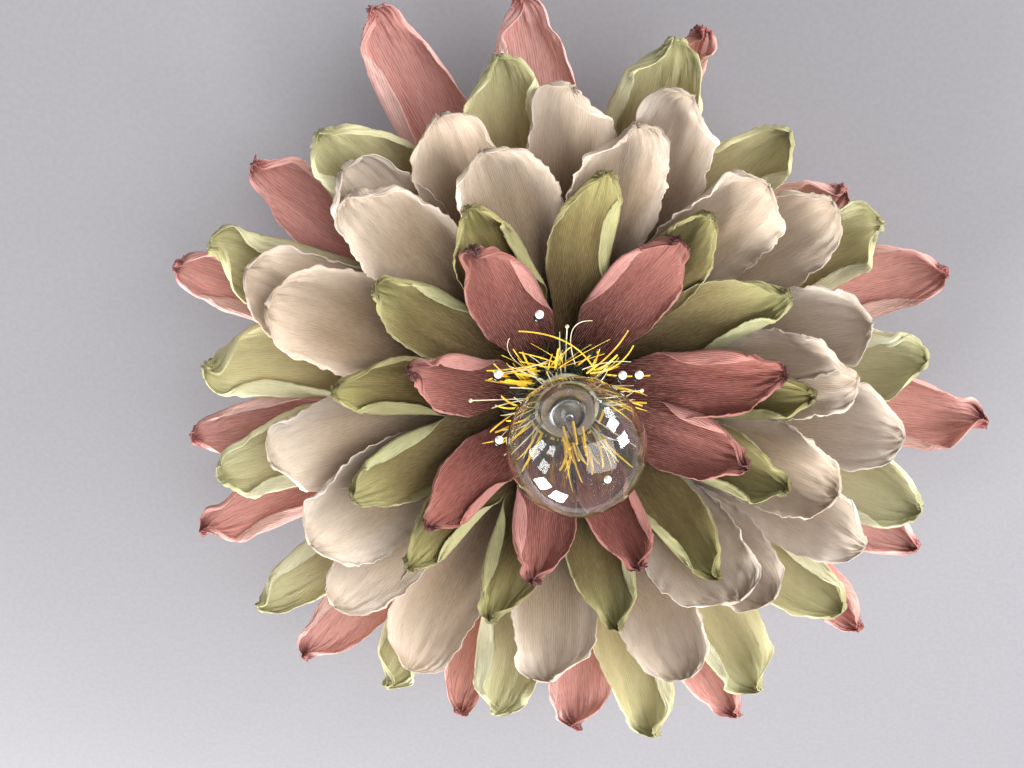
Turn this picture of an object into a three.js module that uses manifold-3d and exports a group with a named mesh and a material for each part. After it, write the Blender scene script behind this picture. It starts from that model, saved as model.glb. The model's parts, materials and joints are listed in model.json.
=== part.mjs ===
// Paper-flower lamp: six tiers of creped paper petals round a clear globe bulb.
// Millimetres, +Z up. The flower lies on its flat back and its face looks up.
// The origin is the centre of the back, which goes against a ceiling or a wall.
import * as THREE from 'three';
import { mergeVertices } from 'three/addons/utils/BufferGeometryUtils.js';
import Module from 'manifold-3d';

const wasm = await Module();
wasm.setup();

// Driving dimensions: seats and paper
const SEAT_GAP = 0.3;
const PAPER_THICKNESS = 0.7;
const GLUE_DEPTH = 0.6;
const FOOT_SETBACK = 3;

// Driving dimensions: back plate and the rings that carry the petals
const PLATE_MARGIN = 5;
const PLATE_THICKNESS = 6;
const RING_THICKNESS = 8;
const INNER_RING_RADIUS = 48;
const RING_STEP = 9;
const CABLE_HOLE_RADIUS = 4;
const CABLE_HOLE_OFFSET = 11;

// Driving dimensions: lampholder
const HOLDER_RADIUS = 21;
const HOLDER_HEIGHT = 72;
const TERMINAL_SPACE = 38;
const HOLDER_FLOOR = 7;
const HOLDER_SKIRT_WALL = 3.5;
const SCREW_SHELL_WALL = 0.7;
const SCREW_SHELL_HEIGHT = 25;
const SPRING_CONTACT_RADIUS = 4;
const SPRING_CONTACT_HEIGHT = 4;

// Driving dimensions: globe bulb with a standard screw cap
const GLOBE_RADIUS = 47.5;
const GLOBE_ABOVE_CAP = 64.7;
const GLASS_WALL = 0.9;
const GLOBE_LOWEST_ANGLE = -58;
const GLOBE_STEPS = 7;
const SHOULDER_WIDENING = 5;
const SHOULDER_HEIGHT = 12;
const CAP_RADIUS = 13.2;
const CAP_LENGTH = 26;
const CAP_WALL = 0.7;
const CAP_SOCKET_DEPTH = 8;
const CAP_EDGE_INSET = 1.5;
const CAP_EDGE_HEIGHT = 2;
const CAP_CONTACT_LENGTH = 4;
const CAP_CONTACT_RADIUS = 6;
const STEM_RADIUS = 3;
const STEM_LENGTH = 60;
const STEM_FLARE_HEIGHT = 12;
const STEM_RIM_HEIGHT = 2;
const FILAMENT_COUNT = 6;
const FILAMENT_LENGTH = 38;
const FILAMENT_RADIUS = 0.9;
const FILAMENT_CIRCLE = 8;
const FILAMENT_SHARE_BELOW_CENTRE = 0.74;
const CAGE_WIRE = 0.8;

// Driving dimensions: stamens and beads
const COLLAR_CLEARANCE = 0.9;
const COLLAR_WIDTH = 9;
const COLLAR_STEP = 3;
const COLLAR_THICKNESS = 2;
const STRAND_WIDTH = 1.8;
const STRAND_THICKNESS = 0.8;
const STRANDS_PER_COLLAR = 6;
const STRAND_BEND_REACH = 0.45;
const STRAND_BEND_RISE = 0.7;
const BEAD_RADIUS = 3.1;
const BEAD_WIRE_RADIUS = 0.5;
const BEAD_FOOT_STEP = 2;
const BEAD_HEIGHT = 52;

// Driving dimensions: reach of the outermost petals from the centre, which sets the size of
// every petal, and the folds of their margins. The tiers' sizes are drawn for the drawn reach.
const FLOWER_REACH = 305;
const DRAWN_REACH = 305;
const FOLD_LINE = 0.72;
const FOLD_SOFTNESS = 0.1;
const NARROW_FOLD_SHARE = 0.5;
const TIP_WIDTH = 4;

// Stretches of a petal as shares of its length: where its cup opens, its prow closes and its
// margins turn in, where they straighten again by the tip, and where a roll and a lift set in.
const CUP_OPENS = [0, 0.3];
const PROW_CLOSES = [0.6, 1];
const FOLD_GROWS = [0.3, 0.65];
const FOLD_FADES = [0.8, 1];
const FOLD_LOSS = 0.7;
const ROLL_GROWS = [0.1, 0.5];
const LIFT_GROWS = [0.05, 0.4];

// Facets
const RING_SIDES = 16;
const ROUND_SIDES = 16;
const SMALL_SIDES = 10;
const ROD_SIDES = 5;
const BEAD_RINGS = 4;
const SECTION_STEPS = 16;
const FINE = { rows: [0, 0.24, 0.5, 0.74, 0.92, 1], columns: [-1, -FOLD_LINE, 0, FOLD_LINE, 1] };
const MEDIUM = { rows: [0, 0.32, 0.64, 0.9, 1], columns: [-1, -FOLD_LINE, 0, FOLD_LINE, 1] };
const COARSE = { rows: [0, 0.36, 0.68, 0.91, 1], columns: [-1, -FOLD_LINE, FOLD_LINE, 1] };

// A petal's spine climbs evenly, then steeper, and turns up at its tip. The three shares make one.
const CLIMB = { even: 0.5, curved: 0.15, upturn: 0.35 };
const UPTURN_POWER = 5;

// Tiers from the outermost and lowest to the innermost and highest. Angles are in degrees.
// Sizes are in millimetres of a flower of the drawn reach.
// Each petal is [bearing of its tip, reach beyond its tier's, full width], and where it has to
// clear its neighbour, also its roll and its lift. The wider fold of a petal lies on the side
// that the tier's letters give, L or R as seen from the centre, and the other margin turns less.
const TIERS = [
  {
    name: 'outer_pink', reach: 305, rise: 64, cup: 18, tipCup: 100, fold: 75, footWidth: 20,
    firstFoot: 25, fused: true, widest: 0.68, fullness: 2.8, point: 0.72, facets: COARSE, colour: '#c9877f',
    wideFolds: 'RLRLLRLRLRLRLRLR',
    petals: [[22, -2, 78], [41, -43, 70], [73, -14, 54], [98, -8, 68], [116, 17, 68], [140, -9, 66],
      [158, 11, 68], [184, -11, 64], [199, 6, 66], [225, 7, 68], [252, -12, 56], [273, -7, 76],
      [299, 16, 66], [323, 17, 58], [338, 8, 66], [358, 23, 76]],
  },
  {
    name: 'outer_green', reach: 275, rise: 78, cup: 18, tipCup: 95, fold: 70, footWidth: 20,
    firstFoot: 12, fused: true, widest: 0.72, fullness: 3, point: 0.6, facets: COARSE, colour: '#c6cba0',
    wideFolds: 'LRRLRLRLLRLRLRLR',
    petals: [[10, -8, 82], [34, -11, 84], [55, -23, 84], [77, -4, 84], [102, -14, 82], [130, -2, 86],
      [153, 12, 74], [170, -1, 82], [189, -3, 80], [212, 16, 64], [237, 1, 66], [257, -7, 80],
      [286, 20, 74], [305, 15, 80], [324, 1, 80], [345, 10, 82]],
  },
  {
    name: 'outer_white', reach: 237, rise: 78, cup: 20, tipCup: 56, fold: 30, footWidth: 20,
    firstFoot: 22, fused: true, widest: 0.72, fullness: 3.2, point: 0.5, facets: COARSE, colour: '#d9d3cb',
    wideFolds: 'RLRLRLRLRLRLRLR',
    petals: [[20, -11, 84], [43, 0, 84], [72, 2, 80], [91, -2, 76], [113, -2, 80], [131, 5, 80],
      [153, 18, 84], [187, -11, 84], [219, -1, 80], [238, 8, 80], [267, -16, 84], [295, 4, 84],
      [318, -17, 82], [337, 12, 80], [358, 10, 84]],
  },
  {
    name: 'inner_white', reach: 214, rise: 74, cup: 20, tipCup: 54, fold: 26, footWidth: 16,
    fused: false, widest: 0.7, fullness: 3.2, point: 0.5, facets: COARSE, colour: '#dcd7d0',
    wideFolds: 'RLRLRLRLR',
    petals: [[11, -6, 84, 7, 1], [54, 2, 82, 8, 2], [80, -2, 78, 8], [108, -9, 84, 8, 1], [132, 10, 80, 8],
      [157, 20, 88, 8], [205, 4, 92], [313, -16, 92], [345, -5, 84, 7]],
  },
  {
    name: 'inner_green', reach: 178, rise: 64, cup: 22, tipCup: 100, fold: 85, footWidth: 16,
    firstFoot: 5, fused: false, widest: 0.64, fullness: 2.6, point: 0.68, facets: MEDIUM, colour: '#b5bd8a',
    wideFolds: 'RRLRRRLRLRLRR',
    petals: [[7, 3, 62], [34, 6, 66], [59, 4, 58], [84, 7, 60], [115, -2, 64], [144, -1, 62],
      [171, -1, 60], [198, 1, 62], [223, -7, 58], [250, -2, 60], [284, 0, 64], [314, -4, 60],
      [342, -3, 62]],
  },
  {
    name: 'inner_pink', reach: 144, rise: 51, cup: 26, tipCup: 110, fold: 95, footWidth: 25,
    firstFoot: 27, fused: false, widest: 0.6, fullness: 2.4, point: 0.72, facets: FINE, colour: '#b97a78',
    wideFolds: 'LLRRLRLL',
    petals: [[14, 19, 64, 0, 5], [62, 14, 64], [118, 8, 64], [162, -18, 60], [218, -5, 60], [260, -7, 60],
      [297, -7, 56], [347, -3, 62]],
  },
];

// Stamen bunches from the lowest collar up: reach of the tips beyond the widest collar, height of
// the tips over their own collar, turn of the bunch.
const STAMENS = [
  { name: 'stamens_yellow', reach: 15, rise: 40, turn: 4, colour: '#c9a53a' },
  { name: 'stamens_dark', reach: 11, rise: 36, turn: 20, colour: '#2c2f25' },
  { name: 'stamens_cream', reach: 18, rise: 36, turn: 34, colour: '#d8cdb2' },
];

// Bead pins: bearing in degrees and distance of the bead from the centre.
const BEADS = [[107, 85], [145, 66], [38, 60], [46, 51], [193, 55], [302, 53]];

// Heights that follow from the driving dimensions
const BLOOM = FLOWER_REACH / DRAWN_REACH;
const PLATE_RADIUS = INNER_RING_RADIUS + RING_STEP * (TIERS.length - 1) + PLATE_MARGIN;
const RINGS_TOP = PLATE_THICKNESS + RING_THICKNESS * TIERS.length;
const HOLDER_BASE = PLATE_THICKNESS;
const HOLDER_BORE = CAP_RADIUS + SCREW_SHELL_WALL + 2 * SEAT_GAP;
const HOLDER_SEAT = HOLDER_BASE + TERMINAL_SPACE + HOLDER_FLOOR;
const HOLDER_TOP = HOLDER_BASE + HOLDER_HEIGHT;
const CAP_CONTACT_BASE = HOLDER_SEAT + SPRING_CONTACT_HEIGHT + SEAT_GAP;
const CAP_BASE = CAP_CONTACT_BASE + CAP_CONTACT_LENGTH;
const CAP_TOP = CAP_BASE + CAP_LENGTH;
const GLOBE_CENTRE = CAP_TOP + GLOBE_ABOVE_CAP;
const NECK_RADIUS = CAP_RADIUS - CAP_WALL - SEAT_GAP;
const NECK_BASE = CAP_TOP - CAP_SOCKET_DEPTH + SEAT_GAP;
const RING_BORE = (HOLDER_RADIUS + SEAT_GAP) / Math.cos(Math.PI / RING_SIDES);
const COLLAR_BORE = (HOLDER_RADIUS + COLLAR_CLEARANCE) / Math.cos(Math.PI / SMALL_SIDES);
const COLLAR_RADIUS = COLLAR_BORE + COLLAR_WIDTH;
const BEAD_WIRE_FOOT = COLLAR_RADIUS + BEAD_FOOT_STEP;

const radians = THREE.MathUtils.degToRad;

function material(colour, roughness, metalness = 0) {
  return new THREE.MeshStandardMaterial({ color: colour, roughness, metalness });
}

function piece(name, geometry, look) {
  const mesh = new THREE.Mesh(geometry, look);
  mesh.name = name;
  return mesh;
}

function smoothStep(from, to, value) {
  return THREE.MathUtils.smoothstep(value, from, to);
}

// Solids for joins and cuts

function toSolid(geometry) {
  const bare = geometry.clone();
  bare.deleteAttribute('normal');
  bare.deleteAttribute('uv');
  const merged = mergeVertices(bare, 1e-4);
  return new wasm.Manifold(new wasm.Mesh({
    numProp: 3,
    vertProperties: new Float32Array(merged.attributes.position.array),
    triVerts: new Uint32Array(merged.index.array),
  }));
}

function toGeometry(solid) {
  const mesh = solid.getMesh();
  const geometry = new THREE.BufferGeometry();
  geometry.setAttribute('position', new THREE.BufferAttribute(mesh.vertProperties, 3));
  geometry.setIndex(new THREE.BufferAttribute(mesh.triVerts, 1));
  return geometry;
}

function joined(geometries) {
  return toGeometry(geometries.map(toSolid).reduce((whole, solid) => whole.add(solid)));
}

// A turned solid from [radius, height] points that end on the axis or come back to the start.
function turned(points, sides) {
  const profile = points.map(([radius, height]) => new THREE.Vector2(radius, height));
  const geometry = new THREE.LatheGeometry(profile, sides);
  geometry.rotateX(Math.PI / 2);
  return geometry;
}

function turnedRing(innerRadius, outerRadius, base, top, sides) {
  return turned([[innerRadius, base], [outerRadius, base], [outerRadius, top], [innerRadius, top],
    [innerRadius, base]], sides);
}

function turnedDisc(radius, base, top, sides) {
  return turned([[0, base], [radius, base], [radius, top], [0, top]], sides);
}

function rod(radius, from, to, sides) {
  const along = new THREE.Vector3().subVectors(to, from);
  const geometry = new THREE.CylinderGeometry(radius, radius, along.length(), sides);
  geometry.translate(0, along.length() / 2, 0);
  geometry.applyQuaternion(new THREE.Quaternion().setFromUnitVectors(
    new THREE.Vector3(0, 1, 0), along.normalize()));
  geometry.translate(from.x, from.y, from.z);
  return geometry;
}

function polar(radius, bearing, height) {
  return new THREE.Vector3(radius * Math.cos(bearing), radius * Math.sin(bearing), height);
}

// Petals

// Half width of a petal at u, 0 at the foot and 1 at the pinched tip.
function petalHalfWidth(petal, u) {
  const { widest } = petal;
  const foot = petal.footWidth / 2;
  const full = petal.width / 2;
  if (u < widest) return foot + (full - foot) * smoothStep(0, 1, u / widest);
  const past = (u - widest) / (1 - widest);
  return petal.tipHalfWidth + (full - petal.tipHalfWidth) * (1 - past ** petal.fullness) ** petal.point;
}

// The sheet cups towards both edges and its margins turn in along a fold, which fades towards
// the foot. The cup closes at the tip like a boat's prow.
function sectionAt(petal, u, v) {
  const cup = radians(petal.cup) * smoothStep(...CUP_OPENS, u)
    + radians(petal.tipCup - petal.cup) * smoothStep(...PROW_CLOSES, u);
  const share = Math.sign(v) === petal.wideSide ? 1 : NARROW_FOLD_SHARE;
  const fold = radians(petal.fold) * share * smoothStep(...FOLD_GROWS, u)
    * (1 - FOLD_LOSS * smoothStep(...FOLD_FADES, u));
  const angleAt = (part) => cup * part
    + fold * smoothStep(FOLD_LINE - FOLD_SOFTNESS, FOLD_LINE + FOLD_SOFTNESS, part);
  const side = Math.sign(v);
  let across = 0;
  let up = 0;
  for (let step = 0; step < SECTION_STEPS; step += 1) {
    const angle = angleAt(Math.abs(v) * (step + 0.5) / SECTION_STEPS);
    across += Math.cos(angle) * Math.abs(v) / SECTION_STEPS;
    up += Math.sin(angle) * Math.abs(v) / SECTION_STEPS;
  }
  const halfWidth = petalHalfWidth(petal, u);
  return { across: side * across * halfWidth, up: up * halfWidth, angle: side * angleAt(Math.abs(v)) };
}

// A point on the sheet's middle surface and the direction across its thickness.
function petalPoint(petal, u, v) {
  const foot = polar(petal.footRadius, petal.footBearing, 0);
  const tip = polar(petal.reach, petal.tipBearing, 0);
  const run = new THREE.Vector3().subVectors(tip, foot);
  const outward = run.clone().normalize();
  const sideways = new THREE.Vector3(-outward.y, outward.x, 0);
  const climb = petal.rise * (CLIMB.even * u + CLIMB.curved * u ** 2 + CLIMB.upturn * u ** UPTURN_POWER);
  const steepness = CLIMB.even + 2 * CLIMB.curved * u + UPTURN_POWER * CLIMB.upturn * u ** (UPTURN_POWER - 1);
  const slope = petal.rise * steepness / run.length();
  const spineUp = new THREE.Vector3(0, 0, 1).addScaledVector(outward, -slope).normalize();
  const section = sectionAt(petal, u, v);
  const roll = petal.roll * smoothStep(...ROLL_GROWS, u);
  const across = section.across * Math.cos(roll) - section.up * Math.sin(roll);
  const up = section.across * Math.sin(roll) + section.up * Math.cos(roll);
  const point = foot.addScaledVector(run, u).addScaledVector(sideways, across).addScaledVector(spineUp, up);
  point.z += petal.footHeight + climb + petal.lift * smoothStep(...LIFT_GROWS, u);
  const tilt = section.angle + roll;
  const normal = new THREE.Vector3()
    .addScaledVector(sideways, -Math.sin(tilt)).addScaledVector(spineUp, Math.cos(tilt));
  return { point, normal };
}

function petalGeometry(petal, { rows, columns }) {
  const positions = [];
  for (const face of [0.5, -0.5]) {
    for (const u of rows) {
      for (const v of columns) {
        const { point, normal } = petalPoint(petal, u, v);
        positions.push(...point.addScaledVector(normal, face * PAPER_THICKNESS).toArray());
      }
    }
  }
  const lastRow = rows.length - 1;
  const lastColumn = columns.length - 1;
  const under = rows.length * columns.length;
  const at = (row, column) => row * columns.length + column;
  const triangles = [];
  for (let row = 0; row < lastRow; row += 1) {
    for (let column = 0; column < lastColumn; column += 1) {
      const [a, b] = [at(row, column), at(row + 1, column)];
      const [c, d] = [at(row + 1, column + 1), at(row, column + 1)];
      triangles.push(a, b, c, a, c, d);
      triangles.push(under + a, under + c, under + b, under + a, under + d, under + c);
    }
  }
  const edge = (from, to) => triangles.push(to, from, under + from, to, under + from, under + to);
  for (let row = 0; row < lastRow; row += 1) {
    edge(at(row, 0), at(row + 1, 0));
    edge(at(row + 1, lastColumn), at(row, lastColumn));
  }
  for (let column = 0; column < lastColumn; column += 1) {
    edge(at(lastRow, column), at(lastRow, column + 1));
    edge(at(0, column + 1), at(0, column));
  }
  const geometry = new THREE.BufferGeometry();
  geometry.setAttribute('position', new THREE.Float32BufferAttribute(positions, 3));
  geometry.setIndex(triangles);
  return geometry;
}

function ringRadius(index) {
  return INNER_RING_RADIUS + RING_STEP * (TIERS.length - 1 - index);
}

function petalsOf(tier, index) {
  const ringTop = PLATE_THICKNESS + RING_THICKNESS * (index + 1);
  const nextRing = index + 1 < TIERS.length ? ringRadius(index + 1) : BEAD_WIRE_FOOT;
  const count = tier.petals.length;
  return tier.petals.map(([bearing, extra, width, roll = 0, lift = 0], order) => {
    const tipBearing = radians(bearing);
    const even = radians((tier.firstFoot ?? 0) + 360 / count * order);
    const footGap = tier.fused ? -GLUE_DEPTH : SEAT_GAP;
    return {
      ...tier,
      tipBearing,
      footBearing: tier.firstFoot === undefined ? tipBearing : even,
      footRadius: nextRing + FOOT_SETBACK,
      footHeight: ringTop + footGap + PAPER_THICKNESS / 2,
      reach: (tier.reach + extra) * BLOOM,
      width: width * BLOOM,
      rise: tier.rise * BLOOM,
      tipHalfWidth: TIP_WIDTH / 2,
      wideSide: tier.wideFolds[order] === 'L' ? 1 : -1,
      roll: radians(roll),
      lift,
    };
  });
}

function tierPieces(tier, index) {
  const base = PLATE_THICKNESS + RING_THICKNESS * index;
  const ring = turnedRing(RING_BORE, ringRadius(index), base, base + RING_THICKNESS, RING_SIDES);
  const look = material(tier.colour, 0.9);
  const petals = petalsOf(tier, index);
  if (tier.fused) {
    const sheets = petals.map((petal) => petalGeometry(petal, tier.facets));
    return [piece(`${tier.name}_tier`, joined([ring, ...sheets]), look)];
  }
  return [
    piece(`${tier.name}_ring`, ring, look),
    ...petals.map((petal, order) => (
      piece(`${tier.name}_petal_${order + 1}`, petalGeometry(petal, tier.facets), look))),
  ];
}

// Hub and lampholder

function backPlate() {
  const disc = turnedDisc(PLATE_RADIUS, 0, PLATE_THICKNESS, RING_SIDES);
  const drill = 4 * PLATE_THICKNESS;
  const hole = new THREE.CylinderGeometry(CABLE_HOLE_RADIUS, CABLE_HOLE_RADIUS, drill, SMALL_SIDES);
  hole.rotateX(Math.PI / 2);
  hole.translate(CABLE_HOLE_OFFSET, 0, 0);
  return piece('back_plate', toGeometry(toSolid(disc).subtract(toSolid(hole))), material('#cfc8bc', 0.8));
}

function lampholder() {
  const skirtBore = HOLDER_RADIUS - HOLDER_SKIRT_WALL;
  const floorBase = HOLDER_BASE + TERMINAL_SPACE;
  const body = turned([[0, floorBase], [skirtBore, floorBase], [skirtBore, HOLDER_BASE],
    [HOLDER_RADIUS, HOLDER_BASE], [HOLDER_RADIUS, HOLDER_TOP], [HOLDER_BORE, HOLDER_TOP],
    [HOLDER_BORE, HOLDER_SEAT], [0, HOLDER_SEAT]], ROUND_SIDES);
  const shellBore = CAP_RADIUS + SEAT_GAP;
  const shell = turnedRing(shellBore, shellBore + SCREW_SHELL_WALL, HOLDER_SEAT,
    HOLDER_SEAT + SCREW_SHELL_HEIGHT, ROUND_SIDES);
  const contact = turnedDisc(SPRING_CONTACT_RADIUS, HOLDER_SEAT, HOLDER_SEAT + SPRING_CONTACT_HEIGHT,
    SMALL_SIDES);
  return [
    piece('lampholder_body', body, material('#6e5f50', 0.5)),
    piece('lampholder_screw_shell', shell, material('#c9a24f', 0.35, 1)),
    piece('lampholder_contact', contact, material('#c9a24f', 0.35, 1)),
  ];
}

// Bulb

function bulb() {
  const cap = turned([[0, CAP_BASE], [CAP_RADIUS - CAP_EDGE_INSET, CAP_BASE],
    [CAP_RADIUS, CAP_BASE + CAP_EDGE_HEIGHT], [CAP_RADIUS, CAP_TOP], [CAP_RADIUS - CAP_WALL, CAP_TOP],
    [CAP_RADIUS - CAP_WALL, CAP_TOP - CAP_SOCKET_DEPTH], [0, CAP_TOP - CAP_SOCKET_DEPTH]], ROUND_SIDES);
  const contact = turnedDisc(CAP_CONTACT_RADIUS, CAP_CONTACT_BASE, CAP_BASE, SMALL_SIDES);
  const stemBase = NECK_BASE + SEAT_GAP;
  const stemFlare = NECK_RADIUS - GLASS_WALL - SEAT_GAP;
  const stem = turned([[0, stemBase], [stemFlare, stemBase], [stemFlare, stemBase + STEM_RIM_HEIGHT],
    [STEM_RADIUS, stemBase + STEM_FLARE_HEIGHT], [STEM_RADIUS, stemBase + STEM_LENGTH],
    [0, stemBase + STEM_LENGTH]], SMALL_SIDES);
  return [
    piece('bulb_glass', bulbGlass(), material('#eef2f2', 0.05)),
    piece('bulb_cap', cap, material('#b9b4a6', 0.35, 1)),
    piece('bulb_contact', contact, material('#3a3733', 0.5)),
    piece('bulb_stem', stem, material('#e8efee', 0.05)),
    piece('bulb_filaments', filamentCage(), material('#e3c54a', 0.5)),
  ];
}

function globeProfile(wall) {
  const lowest = radians(GLOBE_LOWEST_ANGLE);
  const points = [[NECK_RADIUS - wall, NECK_BASE], [NECK_RADIUS - wall, CAP_TOP + 1],
    [NECK_RADIUS + SHOULDER_WIDENING - wall, CAP_TOP + SHOULDER_HEIGHT]];
  for (let step = 0; step <= GLOBE_STEPS; step += 1) {
    const angle = lowest + (Math.PI / 2 - lowest) * step / GLOBE_STEPS;
    const radius = step === GLOBE_STEPS ? 0 : (GLOBE_RADIUS - wall) * Math.cos(angle);
    points.push([radius, GLOBE_CENTRE + (GLOBE_RADIUS - wall) * Math.sin(angle)]);
  }
  return points;
}

function bulbGlass() {
  const inside = globeProfile(GLASS_WALL).reverse();
  return turned([...inside, ...globeProfile(0)], ROUND_SIDES);
}

function filamentCage() {
  const base = GLOBE_CENTRE - FILAMENT_LENGTH * FILAMENT_SHARE_BELOW_CENTRE;
  const top = base + FILAMENT_LENGTH;
  const rods = [];
  for (let order = 0; order < FILAMENT_COUNT; order += 1) {
    const bearing = 2 * Math.PI * (order + 0.5) / FILAMENT_COUNT;
    rods.push(rod(FILAMENT_RADIUS, polar(FILAMENT_CIRCLE, bearing, base),
      polar(FILAMENT_CIRCLE, bearing, top), ROD_SIDES));
    if (order % 2 === 0) {
      rods.push(rod(CAGE_WIRE / 2, polar(STEM_RADIUS + SEAT_GAP, bearing, base + CAGE_WIRE),
        polar(FILAMENT_CIRCLE, bearing, base + CAGE_WIRE), ROD_SIDES));
    }
  }
  const [hoopBore, hoopRadius] = [FILAMENT_CIRCLE - CAGE_WIRE / 2, FILAMENT_CIRCLE + CAGE_WIRE / 2];
  const hoops = [base, top - CAGE_WIRE].map((height) => (
    turnedRing(hoopBore, hoopRadius, height, height + CAGE_WIRE, FILAMENT_COUNT)));
  return joined([...hoops, ...rods]);
}

// Stamens and beads

function strand(bearing, root, reach, base, rise) {
  const path = new THREE.QuadraticBezierCurve3(
    polar(root, bearing, base),
    polar(root + (reach - root) * STRAND_BEND_REACH, bearing, base + rise * STRAND_BEND_RISE),
    polar(reach, bearing, base + rise));
  const halfWidth = STRAND_WIDTH / 2;
  const halfThickness = STRAND_THICKNESS / 2;
  const section = new THREE.Shape();
  section.moveTo(-halfThickness, -halfWidth);
  section.lineTo(halfThickness, -halfWidth);
  section.lineTo(halfThickness, halfWidth);
  section.lineTo(-halfThickness, halfWidth);
  return new THREE.ExtrudeGeometry(section, { steps: 2, bevelEnabled: false, extrudePath: path });
}

function stamens(bunch, index) {
  const base = RINGS_TOP + COLLAR_THICKNESS * index;
  const radius = COLLAR_RADIUS - COLLAR_STEP * index;
  const collar = turnedRing(COLLAR_BORE, radius, base, base + COLLAR_THICKNESS, SMALL_SIDES);
  const strands = [];
  for (let order = 0; order < STRANDS_PER_COLLAR; order += 1) {
    const bearing = radians(bunch.turn + 360 / STRANDS_PER_COLLAR * order);
    const root = radius - COLLAR_STEP / 2;
    const reach = COLLAR_RADIUS + bunch.reach;
    strands.push(strand(bearing, root, reach, base + COLLAR_THICKNESS / 2, bunch.rise));
  }
  return piece(bunch.name, joined([collar, ...strands]), material(bunch.colour, 0.8));
}

function beadPin([bearing, distance], index) {
  const turn = radians(bearing);
  const foot = polar(BEAD_WIRE_FOOT, turn, RINGS_TOP + SEAT_GAP + BEAD_WIRE_RADIUS);
  const darkBead = polar(distance, turn, RINGS_TOP + BEAD_HEIGHT - 2 * BEAD_RADIUS - SEAT_GAP);
  const wire = rod(BEAD_WIRE_RADIUS, foot, darkBead, ROD_SIDES);
  const dark = new THREE.SphereGeometry(BEAD_RADIUS, ROD_SIDES, BEAD_RINGS);
  dark.rotateX(Math.PI / 2);
  dark.translate(...darkBead.toArray());
  const pale = new THREE.SphereGeometry(BEAD_RADIUS, ROD_SIDES, BEAD_RINGS);
  pale.rotateX(Math.PI / 2);
  pale.translate(darkBead.x, darkBead.y, darkBead.z + 2 * BEAD_RADIUS + SEAT_GAP);
  return [
    piece(`bead_pin_${index + 1}`, joined([wire, dark]), material('#25221f', 0.4)),
    piece(`white_bead_${index + 1}`, pale, material('#efece6', 0.3)),
  ];
}

const flower = new THREE.Group();
flower.add(
  backPlate(),
  ...TIERS.flatMap(tierPieces),
  ...lampholder(),
  ...bulb(),
  ...STAMENS.map(stamens),
  ...BEADS.flatMap(beadPin),
);

export default flower;
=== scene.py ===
import json
import math
import random

import bpy
import numpy as np
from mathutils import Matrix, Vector

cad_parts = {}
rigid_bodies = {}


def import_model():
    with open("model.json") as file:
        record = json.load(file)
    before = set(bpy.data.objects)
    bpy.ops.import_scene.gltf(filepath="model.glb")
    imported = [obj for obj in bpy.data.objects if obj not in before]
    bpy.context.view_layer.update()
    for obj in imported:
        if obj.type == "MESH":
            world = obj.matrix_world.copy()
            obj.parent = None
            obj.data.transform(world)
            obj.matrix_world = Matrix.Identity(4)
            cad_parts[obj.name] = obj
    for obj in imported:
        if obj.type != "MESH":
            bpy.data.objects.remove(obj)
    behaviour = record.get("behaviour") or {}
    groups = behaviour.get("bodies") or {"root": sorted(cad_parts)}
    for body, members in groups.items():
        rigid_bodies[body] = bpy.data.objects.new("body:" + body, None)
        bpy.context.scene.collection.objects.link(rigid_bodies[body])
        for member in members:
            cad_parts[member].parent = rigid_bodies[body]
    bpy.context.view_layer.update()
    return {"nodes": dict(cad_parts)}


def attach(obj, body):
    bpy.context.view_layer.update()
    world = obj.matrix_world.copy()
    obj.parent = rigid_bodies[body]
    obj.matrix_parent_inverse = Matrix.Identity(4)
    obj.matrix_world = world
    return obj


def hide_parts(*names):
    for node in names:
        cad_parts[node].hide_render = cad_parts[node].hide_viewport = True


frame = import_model()

MM = 0.001
# Edges that turn by more than this stay sharp when a piece is shaded smooth.
SMOOTH_ANGLE = math.radians(35)

# The camera of the photograph: place in millimetres, turn in degrees, lens and sensor's width.
CAMERA_PLACE = (-49.0, 186.8, 635.8)
CAMERA_TURN = (-16.37, -0.65, 0.0)
CAMERA_LENS = 27.07
CAMERA_SENSOR = 36

# The hub and the paper, in millimetres. A petal's foot lies on its ring, outside the next one.
PLATE_RADIUS = 98
PLATE_THICKNESS = 6
RING_THICKNESS = 8
INNER_RING_RADIUS = 48
RING_STEP = 9
RING_BORE = 21.7
RINGS_TOP = 54
CABLE_HOLE_RADIUS = 4
CABLE_HOLE_OFFSET = 11
GLUE_DEPTH = 0.6
FOOT_SETBACK = 3
SEAT_GAP = 0.3
PAPER_THICKNESS = 0.6
BOARD_EDGE = 0.5

# The lampholder and the globe bulb, in millimetres
HOLDER_RADIUS = 21
HOLDER_TOP = 78
HOLDER_SEAT = 51
HOLDER_FLOOR_BASE = 44
HOLDER_SKIRT_BORE = 17.5
HOLDER_BORE = 14.5
HOLDER_EDGE = 0.6
CAP_RADIUS = 13.2
CAP_BASE = 59.3
CAP_TOP = 85.3
CAP_WALL = 0.7
CAP_SOCKET_DEPTH = 8
GLOBE_RADIUS = 47.5
GLOBE_CENTRE = 150
GLASS_WALL = 0.9
NECK_RADIUS = 12.2
NECK_BASE = 77.6
STEM_BASE = 77.9
STEM_TOP = 137.9
STEM_RADIUS = 3
FILAMENT_CIRCLE = 8
FILAMENT_BASE = 121.9
FILAMENT_TOP = 159.9
FILAMENT_COUNT = 6
FILAMENT_RADIUS = 0.75
LEAD_RADIUS = 0.18
# The globe's outline starts at this angle below its widest circle, and has so many steps.
GLOBE_LOWEST = -58
GLOBE_STEPS = 26
# The cap's thread: its turns, and the depth below the cap's wall and the height of each corner
THREAD_TURNS = 5
THREAD_PITCH = 3.6
THREAD_FOOT = 3
THREAD_PROFILE = [(0.9, 0), (0.1, 1.2), (0.1, 2.0), (0.9, 3.2)]

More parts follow.
